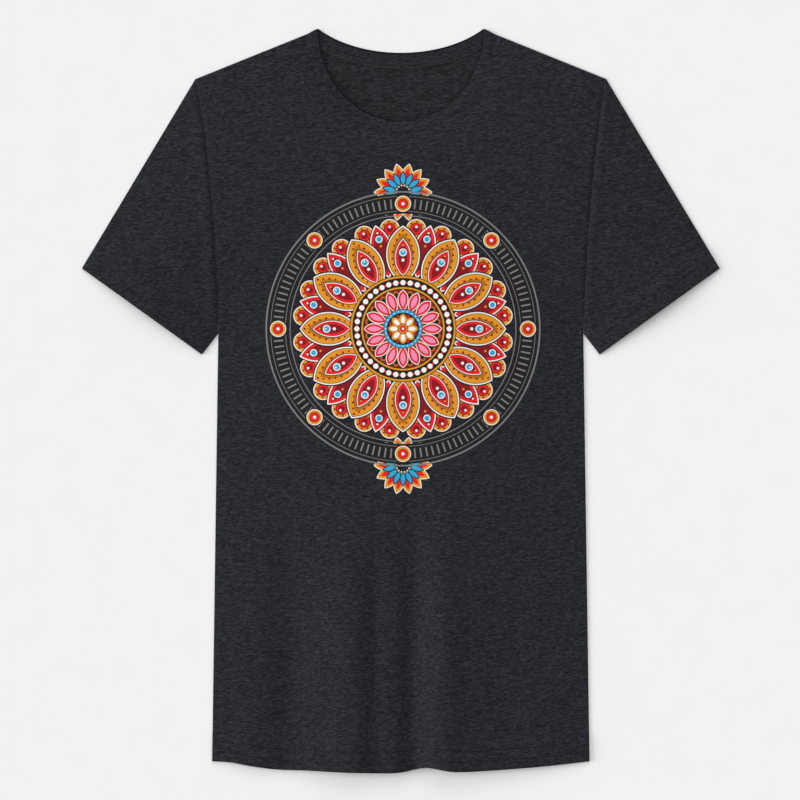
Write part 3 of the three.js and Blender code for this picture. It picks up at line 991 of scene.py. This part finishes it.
def out_from_middle(s, given, angle):
    """How far out a place is along the middle line, from the shape's middle."""
    along = s.math("MULTIPLY", given["Radius"], s.math("COSINE", angle))
    return s.math("SUBTRACT", along, given["Middle"])


def make_petal_group():
    """Distance in millimetres outside a ring of pointed petals, and below 0 inside them."""
    tree, s, given, out, x, angle = new_ring_group("petal_ring", "Inner", "Outer", "Half width")
    y = out_from_middle(s, given, angle)
    outside = s.math("GREATER_THAN", y, 0.0)
    growth = s.math("SUBTRACT", given["Outer"], given["Inner"])
    half = s.math("MULTIPLY_ADD", outside, growth, given["Inner"])
    half_squared = s.math("MULTIPLY", half, half)
    width_squared = s.math("MULTIPLY", given["Half width"], given["Half width"])
    double = s.math("MULTIPLY", given["Half width"], 2.0)
    offset = s.math("DIVIDE", s.math("SUBTRACT", half_squared, width_squared), double)
    radius = s.math("DIVIDE", s.math("ADD", half_squared, width_squared), double)
    across = s.math("ADD", x, offset)
    reach = s.math("SQRT", s.math("MULTIPLY_ADD", across, across, s.math("MULTIPLY", y, y)))
    s.join(s.math("SUBTRACT", reach, radius), out["Distance"])
    return tree


def make_bead_group():
    """Distance in millimetres outside a ring of round beads, in pairs where they stand aside."""
    tree, s, given, out, beside, angle = new_ring_group("bead_ring", "Aside", "Bead")
    x = s.math("SUBTRACT", beside, given["Aside"])
    y = out_from_middle(s, given, angle)
    reach = s.math("SQRT", s.math("MULTIPLY_ADD", x, x, s.math("MULTIPLY", y, y)))
    s.join(s.math("SUBTRACT", reach, given["Bead"]), out["Distance"])
    return tree


def make_tick_group():
    """Distance in millimetres outside a ring of short radial dashes."""
    tree, s, given, out, x, _ = new_ring_group("tick_ring", "Half length", "Half width")
    y = s.math("ABSOLUTE", s.math("SUBTRACT", given["Radius"], given["Middle"]))
    across = s.math("SUBTRACT", x, given["Half width"])
    along = s.math("SUBTRACT", y, given["Half length"])
    s.join(s.math("MAXIMUM", across, along), out["Distance"])
    return tree


INK_EDGE = 0.2                      # an ink's edge fades over this far to each side, in millimetres


def make_ink_group():
    """Lays one ink over what is printed already, inside a distance of 0."""
    tree, s, given, out = new_group(
        "printed_ink",
        {"Colour": "colour", "Coverage": "value", "Ink": "colour", "Distance": "value"},
        {"Colour": "colour", "Coverage": "value"},
    )
    share = s.ramp(given["Distance"], INK_EDGE, -INK_EDGE)
    s.join(s.mix(share, given["Colour"], given["Ink"]), out["Colour"])
    s.join(s.math("MAXIMUM", given["Coverage"], share), out["Coverage"])
    return tree


PETALS = make_petal_group()
BEADS = make_bead_group()
TICKS = make_tick_group()
INK = make_ink_group()

GOLD = ink("DC9120")
DEEP_GOLD = ink("B26A14")
RED = ink("DF1B23")
DARK_RED = ink("84101A")
WHITE = ink("F2EFEA")
BLUE = ink("2FA3D0")
PINK = ink("EE8CB0")
BLACK = ink("1D1A1B", strength=0.8)
GREY = ink("7C7B7D")


class Ornament:
    """Paints the printed ornament ring by ring, from the back to the front."""

    def __init__(self, shader, vector, cloth):
        self.s = shader
        self.colour = cloth
        self.coverage = 0.0
        flat = shader.node("ShaderNodeSeparateXYZ", {"Vector": vector}).outputs
        self.x = shader.math("MULTIPLY_ADD", flat["X"], 1 / MM, -PRINT_MIDDLE.x / MM)
        self.y = shader.math("MULTIPLY_ADD", flat["Y"], 1 / MM, -PRINT_MIDDLE.y / MM)

    def stand_at(self, x, y):
        """Radius and angle are taken about this place from here on."""
        s = self.s
        self.radius = s.math("SQRT", s.math("MULTIPLY_ADD", x, x, s.math("MULTIPLY", y, y)))
        self.angle = s.math("ARCTAN2", y, x)

    def lay(self, distance, colour, outset=0.0):
        """One ink inside a shape that is made larger by the outset."""
        grown = self.s.math("SUBTRACT", distance, outset) if outset else distance
        laid = self.s.group(INK, {
            "Colour": self.colour, "Coverage": self.coverage, "Ink": colour, "Distance": grown})
        self.colour = laid["Colour"]
        self.coverage = laid["Coverage"]

    def lay_all(self, distance, *inks):
        for colour, outset in inks:
            self.lay(distance, colour, outset)

    def polar(self, tree, **inputs):
        named = {name.replace("_", " ").capitalize(): value for name, value in inputs.items()}
        return self.s.group(tree, {"Radius": self.radius, "Angle": self.angle, **named})["Distance"]

    def petals(self, count, turn, middle, inner, outer, half_width):
        return self.polar(PETALS, count=count, turn=turn, middle=middle,
                          inner=inner, outer=outer, half_width=half_width)

    def beads(self, count, middle, bead, turn=0.0, aside=0.0):
        return self.polar(BEADS, count=count, turn=turn, middle=middle, aside=aside, bead=bead)

    def ring(self, middle, half_width):
        offset = self.s.math("ABSOLUTE", self.s.math("SUBTRACT", self.radius, middle))
        return self.s.math("SUBTRACT", offset, half_width)

    def disc(self, reach):
        return self.s.math("SUBTRACT", self.radius, reach)


# The ornament's rings, in millimetres from its middle, and how many shapes stand round them
PALMETTE = 143.0                    # a palmette's middle, above and below
PALMETTE_LEAVES = 14
OUTER_RING = 131
MEDALLIONS = 8
TICK_COUNT = 132
SCALLOPS = 24
LOTUS = 12
ROPE = 48.4
ROPE_BEADS = 40
INNER_PETALS = 16
HUB = 18.4
HUB_BEADS = 24
FLOWER_PETALS = 8
BETWEEN = 0.5                       # turned by half a place, so that it stands between the others

# Dots round the edge of each lotus petal: how far out, how far to the side, size, in millimetres
LOTUS_DOTS = (
    (103.0, 0.0, 1.2),
    (98.5, 3.6, 1.1),
    (93.0, 6.8, 1.2),
    (87.0, 9.2, 1.1),
    (80.5, 10.9, 1.3),
    (73.5, 11.0, 1.1),
    (67.0, 10.0, 1.2),
    (61.0, 8.0, 1.0),
)


def make_ornament_group():
    """A round ornament of lotus petals, beads and scallops, with a palmette above and below."""
    tree, s, given, out = new_group(
        "printed_rosette",
        {"Vector": "vector", "Cloth": "colour"},
        {"Colour": "colour", "Coverage": "value"},
    )
    o = Ornament(s, given["Vector"], given["Cloth"])
    # Palmettes, half hidden behind the outer ring
    o.stand_at(o.x, s.math("SUBTRACT", s.math("ABSOLUTE", o.y), PALMETTE))
    leaves = o.petals(PALMETTE_LEAVES, 0.0, 17, 10, 13, 5.4)
    o.lay_all(leaves, (BLACK, 1.7), (WHITE, 0.6), (GOLD, -0.2), (RED, -2.6))
    o.lay_all(o.petals(PALMETTE_LEAVES, BETWEEN, 14, 6, 7, 2.4), (BLACK, 1.0), (BLUE, 0.0))
    o.stand_at(o.x, o.y)
    # Outer ring
    o.lay(o.ring(OUTER_RING, 10.5), BLACK)
    for middle, half_width in ((143.4, 0.75), (118.4, 0.45), (138.8, 0.3), (123.2, 0.3)):
        o.lay(o.ring(middle, half_width), GREY)
    ticks = o.polar(TICKS, count=TICK_COUNT, middle=OUTER_RING, half_length=5.0, half_width=0.8)
    o.lay(ticks, GREY)
    medallions = o.beads(MEDALLIONS, OUTER_RING, 7.6)
    o.lay_all(medallions, (BLACK, 2.4), (WHITE, 0.8), (GOLD, 0.0), (BLACK, -2.2), (RED, -2.9))
    o.lay(o.beads(MEDALLIONS, OUTER_RING, 1.6), WHITE)
    # Scallops
    scallops = o.beads(SCALLOPS, 105.5, 9.8, turn=BETWEEN)
    o.lay_all(scallops, (BLACK, 1.7), (WHITE, 0.5), (GOLD, -0.4))
    o.lay_all(scallops, (BLACK, -3.4), (RED, -4.2), (DARK_RED, -6.4))
    o.lay(o.beads(SCALLOPS, 113.2, 1.0, turn=BETWEEN), DARK_RED)
    o.lay(o.beads(SCALLOPS, 110.5, 1.0, turn=BETWEEN, aside=5.6), DARK_RED)
    o.lay(o.beads(SCALLOPS, 107.6, 1.3, turn=BETWEEN), WHITE)
    # Petals behind
    behind = o.petals(LOTUS, BETWEEN, 86, 30, 25, 10.5)
    o.lay_all(behind, (BLACK, 2.0), (WHITE, 0.9), (RED, -0.3), (DARK_RED, -3.4))
    o.lay_all(o.beads(LOTUS, 97, 2.8, turn=BETWEEN), (BLACK, 1.7), (WHITE, 1.0), (BLUE, 0.0))
    o.lay(o.beads(LOTUS, 103.6, 1.0, turn=BETWEEN), WHITE)
    o.lay(o.beads(LOTUS, 89.5, 1.2, turn=BETWEEN), GOLD)
    # Lotus petals
    lotus = o.petals(LOTUS, 0.0, 78, 30, 29, 16.6)
    o.lay_all(lotus, (BLACK, 2.4), (WHITE, 1.0), (BLACK, -0.3), (GOLD, -0.9), (DEEP_GOLD, -5.8))
    core = o.petals(LOTUS, 0.0, 74, 18, 20, 8.0)
    o.lay_all(core, (BLACK, 1.5), (WHITE, 0.6), (RED, -0.2), (DARK_RED, -3.2))
    for middle, aside, size in LOTUS_DOTS:
        o.lay(o.beads(LOTUS, middle, size, aside=aside), DARK_RED)
    o.lay_all(o.beads(LOTUS, 80, 3.0), (BLACK, 1.9), (WHITE, 1.1), (BLUE, 0.0))
    o.lay(o.beads(LOTUS, 81.2, 0.9), WHITE)
    o.lay(o.beads(LOTUS, 72, 1.6), WHITE)
    o.lay(o.beads(LOTUS, 87.5, 1.0), GOLD)
    # Beaded rope round the middle
    o.lay(o.disc(56), BLACK)
    o.lay(o.ring(54.2, 1.0), GOLD)
    o.lay(o.beads(ROPE_BEADS, ROPE, 2.7), WHITE)
    o.lay(o.beads(ROPE_BEADS, ROPE, 1.1, turn=BETWEEN), RED)
    o.lay(o.ring(42.8, 0.9), GOLD)
    o.lay(o.disc(40.8), DARK_RED)
    # Inner petals
    o.lay_all(o.petals(INNER_PETALS, BETWEEN, 32, 13, 8.5, 5.0), (DEEP_GOLD, 0.0), (BLACK, -1.6))
    inner = o.petals(INNER_PETALS, 0.0, 31, 12, 9.5, 5.2)
    o.lay_all(inner, (BLACK, 1.2), (WHITE, 0.5), (RED, -0.3), (PINK, -2.4))
    o.lay(o.disc(20.6), BLACK)
    o.lay(o.ring(HUB, 1.5), BLUE)
    o.lay(o.beads(HUB_BEADS, HUB, 0.6), WHITE)
    # Flower
    o.lay_all(o.petals(FLOWER_PETALS, BETWEEN, 10, 6, 5.4, 4.0), (BLACK, 0.9), (RED, 0.0))
    flower = o.petals(FLOWER_PETALS, 0.0, 9.6, 7.5, 6.2, 4.2)
    o.lay_all(flower, (BLACK, 1.0), (GOLD, 0.0), (WHITE, -2.0))
    for reach, colour in ((5.6, BLACK), (4.8, GOLD), (3.6, RED), (1.2, WHITE)):
        o.lay(o.disc(reach), colour)
    s.join(o.colour, out["Colour"])
    s.join(o.coverage, out["Coverage"])
    return tree


HEATHER = make_heather_group()
SOFT_FOLDS = make_fold_group()

JERSEY_DARK = (0.0083, 0.0087, 0.0108, 1)
JERSEY_LIGHT = (0.0289, 0.0306, 0.0371, 1)
JERSEY_FLECK = (0.044, 0.046, 0.054, 1)
INSIDE_DARK = (0.0082, 0.0086, 0.0098, 1)
INSIDE_LIGHT = (0.0267, 0.0282, 0.0314, 1)
# the hem's thread: partly its own dark colour, partly painted shade for the grooves its stitches draw in
SHADE_DARKENED_THREAD = ((0.002, 0.0021, 0.0025, 1), (0.006, 0.0063, 0.0075, 1))
PLAIN_THREAD = ((0.008, 0.0085, 0.01, 1), (0.026, 0.027, 0.032, 1))
GREY_THREAD = ((0.02, 0.021, 0.022, 1), (0.05, 0.052, 0.054, 1))
YARN_RELIEF = 0.06                  # height of the yarn's fine shape, in millimetres
STREAK_SLANT = math.radians(-6.5)
JERSEY_ROUGHNESS = 0.92
INK_ROUGHNESS = 0.6
JERSEY_GLOSS = 0.12
JERSEY_SHEEN = 0.04
JERSEY_SHEEN_ROUGHNESS = 0.5
THREAD_GRAIN = (3000, 3000, 3000)
THREAD_ROUGHNESS = 0.7
THREAD_GLOSS = 0.2
THREAD_TWIST = 0.05 * MM            # depth of the twist's fine shape, and its strength
THREAD_TWIST_STRENGTH = 0.4


def new_material(name):
    """A material, its shader and its surface."""
    material = bpy.data.materials.new(name)
    material.use_nodes = True
    s = Shader(material.node_tree)
    surface = s.node("ShaderNodeBsdfPrincipled", {})
    s.node("ShaderNodeOutputMaterial", {"Surface": surface.outputs["BSDF"]})
    return material, s, surface.inputs


FOLD_SHADE_TONE = 0.15                  # painted shade: the neckband's folded edge is darkened to this share, for the shadow under the fold
FOLD_SHADE_REACH = (1.8, 2.8)           # over this many of the band's mesh steps in from the fold


def painted_fold_shade(s):
    """Painted shade: the neckband's cloth is darkened along its folded edge, for the shadow in the gap
    under the fold.
    """
    pattern = s.node("ShaderNodeUVMap", {}, uv_map="pattern").outputs["UV"]
    around = s.node("ShaderNodeSeparateXYZ", {"Vector": pattern}).outputs["Y"]
    steps = s.math("MULTIPLY", around, 1 / BAND_PATTERN[1])
    from_fold = s.math("MINIMUM", steps, s.math("SUBTRACT", 2 * BAND_PROFILE_STEPS, steps))
    return s.ramp(from_fold, *FOLD_SHADE_REACH, FOLD_SHADE_TONE, 1.0)


def jersey(name, printed=False, fold_shaded=False, dark=JERSEY_DARK, light=JERSEY_LIGHT):
    """Matte heather jersey. The front's has the ornament's ink on it, and its soft folds' fine shape; the
    neckband's has painted shade along its folded edge.
    """
    material, s, surface = new_material(name)
    place = s.node("ShaderNodeTexCoord", {}).outputs["Object"]
    yarn = s.group(HEATHER, {
        "Vector": place, "Dark": dark, "Light": light, "Fleck": JERSEY_FLECK, "Slant": STREAK_SLANT})
    colour = yarn["Colour"]
    roughness = JERSEY_ROUGHNESS
    relief = s.math("MULTIPLY", yarn["Height"], YARN_RELIEF)
    if printed:
        rosette = s.group(make_ornament_group(), {"Vector": place, "Cloth": colour})
        colour = rosette["Colour"]
        roughness = s.ramp(rosette["Coverage"], 0, 1, JERSEY_ROUGHNESS, INK_ROUGHNESS)
        relief = s.math("ADD", relief, s.group(SOFT_FOLDS, {"Vector": place})["Height"])
    # painted shade along the neckband's folded edge
    if fold_shaded:
        colour = s.scale(colour, painted_fold_shade(s))
    s.join(colour, surface["Base Color"])
    s.join(roughness, surface["Roughness"])
    surface["Specular IOR Level"].default_value = JERSEY_GLOSS
    surface["Sheen Weight"].default_value = JERSEY_SHEEN
    surface["Sheen Roughness"].default_value = JERSEY_SHEEN_ROUGHNESS
    bump = s.node("ShaderNodeBump", {"Strength": 1.0, "Distance": MM, "Height": relief})
    s.join(bump.outputs["Normal"], surface["Normal"])
    return material


def thread(name, dark, light):
    """Spun sewing thread, twisted."""
    material, s, surface = new_material(name)
    place = s.node("ShaderNodeTexCoord", {}).outputs["Object"]
    strands = s.noise(place, THREAD_GRAIN, 2.0)
    s.join(s.mix(strands, dark, light), surface["Base Color"])
    surface["Roughness"].default_value = THREAD_ROUGHNESS
    surface["Specular IOR Level"].default_value = THREAD_GLOSS
    twist = {"Strength": THREAD_TWIST_STRENGTH, "Distance": THREAD_TWIST, "Height": strands}
    bump = s.node("ShaderNodeBump", twist)
    s.join(bump.outputs["Normal"], surface["Normal"])
    return material


# The shirt
front_panel = Panel(FRONT_SEAM)
back_panel = Panel(BACK_SEAM)
printed_jersey = jersey("printed_heather_jersey", printed=True)
plain_jersey = jersey("heather_jersey")
band_jersey = jersey("neckband_heather_jersey", fold_shaded=True)
inner_jersey = jersey("inner_heather_jersey", dark=INSIDE_DARK, light=INSIDE_LIGHT)
# darker than the cloth: the thread's own colour, with painted shade of the stitch grooves
shade_darkened_thread = thread("shade_darkened_thread", *SHADE_DARKENED_THREAD)
plain_thread = thread("plain_thread", *PLAIN_THREAD)
grey_thread = thread("grey_thread", *GREY_THREAD)

front_cloth = finished(make_panel(front_panel, front_height, 1), "front_cloth", printed_jersey, CLOTH)
back_cloth = finished(make_panel(back_panel, back_height, -1), "back_cloth", inner_jersey, CLOTH)
left_sleeve = finished(make_sleeve(1), "left_sleeve_cloth", plain_jersey, CLOTH)
right_sleeve = finished(make_sleeve(-1), "right_sleeve_cloth", plain_jersey, CLOTH)
band_mesh, band_length = make_neckband()
neckband = finished(band_mesh, "neckband_cloth", band_jersey)
neck_tape = finished(make_neck_tape(), "neck_tape_cloth", inner_jersey, TAPE_THICKNESS)
hem_stitches = finished(make_hem_stitches(front_panel), "front_hem_stitches", shade_darkened_thread)
left_cuff_stitches = finished(make_cuff_stitches(1), "left_cuff_stitches", plain_thread)
right_cuff_stitches = finished(make_cuff_stitches(-1), "right_cuff_stitches", plain_thread)
tape_stitches = finished(make_tape_stitches(), "neck_tape_stitches", grey_thread)

for piece, node in (
    (front_cloth, "front_panel"),
    (back_cloth, "back_panel"),
    (left_sleeve, "left_sleeve"),
    (right_sleeve, "right_sleeve"),
    (neckband, "neckband"),
    (neck_tape, "neck_tape"),
):
    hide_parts(node)

sleeve_outline = [p + Vector((SEAM_GAP, 0)) for p in ARMHOLE.points] + [CUFF_CORNER, SLEEVE_TIP]
sleeve_area = 2 * (plan_area(sleeve_outline) + CUFF.length * CUFF_TURN)
front_panel.size(HEM_TURN)
front_panel.area(HEM_TURN)
back_panel.size(HEM_TURN)
back_panel.area(HEM_TURN)


# Studio: a pale floor under soft light
FLOOR_REACH = 12
FLOOR_GRAIN = (30, 30, 30)
FLOOR_DARK = (0.795, 0.795, 0.795, 1)
FLOOR_LIGHT = (0.805, 0.805, 0.805, 1)
FLOOR_ROUGHNESS = 0.9


def make_floor():
    """A wide pale floor under the shirt."""
    mesh = bmesh.new()
    bmesh.ops.create_grid(mesh, x_segments=1, y_segments=1, size=FLOOR_REACH)
    data = bpy.data.meshes.new("floor")
    mesh.to_mesh(data)
    mesh.free()
    material, s, surface = new_material("pale_floor")
    place = s.node("ShaderNodeTexCoord", {}).outputs["Object"]
    grain = s.noise(place, FLOOR_GRAIN, 2.0)
    s.join(s.mix(grain, FLOOR_DARK, FLOOR_LIGHT), surface["Base Color"])
    surface["Roughness"].default_value = FLOOR_ROUGHNESS
    surface["Specular IOR Level"].default_value = 0.0
    data.materials.append(material)
    floor = bpy.data.objects.new("floor", data)
    bpy.context.scene.collection.objects.link(floor)


# Lamps: tilt away from straight above, heading seen from above, light on the floor, width, with
# the angles in degrees
LAMPS = {
    "key": (70, 180, 0.87, 36),
    "top_light": (62, 90, 0.42, 40),
    "overhead": (8, 90, 1.05, 60),
}
LAMP_DISTANCE = 3
FILL_STRENGTH = 0.36


def make_lights():
    """A key light from the left, softer ones from the top and overhead, and an even fill."""
    for name, (tilt, heading, on_floor, width) in LAMPS.items():
        tilt = math.radians(tilt)
        heading = math.radians(heading)
        light = bpy.data.lights.new(name, "SUN")
        light.energy = on_floor / math.cos(tilt)
        light.angle = math.radians(width)
        lamp = bpy.data.objects.new(name, light)
        towards = Vector((
            math.sin(tilt) * math.cos(heading),
            math.sin(tilt) * math.sin(heading),
            math.cos(tilt),
        ))
        lamp.rotation_euler = towards.to_track_quat("Z", "Y").to_euler()
        lamp.location = towards * LAMP_DISTANCE
        bpy.context.scene.collection.objects.link(lamp)
    world = bpy.data.worlds.new("studio")
    world.use_nodes = True
    sky = world.node_tree.nodes["Background"].inputs
    sky["Color"].default_value = (1, 1, 1, 1)
    sky["Strength"].default_value = FILL_STRENGTH
    bpy.context.scene.world = world


# Camera: lens and sensor in millimetres, and how far it sees
LENS = 200
SENSOR = 36
SIGHT = 100


def make_camera():
    """A long lens straight above, with the photograph's frame."""
    data = bpy.data.cameras.new("camera")
    data.lens = LENS
    data.sensor_width = SENSOR
    data.clip_end = SIGHT
    camera = bpy.data.objects.new("camera", data)
    half_frame = PHOTO_SIDE * PHOTO_PIXEL / 2
    distance = half_frame * LENS / (SENSOR / 2)
    camera.location = (PHOTO_MIDDLE.x, PHOTO_MIDDLE.y, distance)
    bpy.context.scene.collection.objects.link(camera)
    bpy.context.scene.camera = camera


make_floor()
make_lights()
make_camera()
bpy.context.scene.view_settings.view_transform = "Standard"
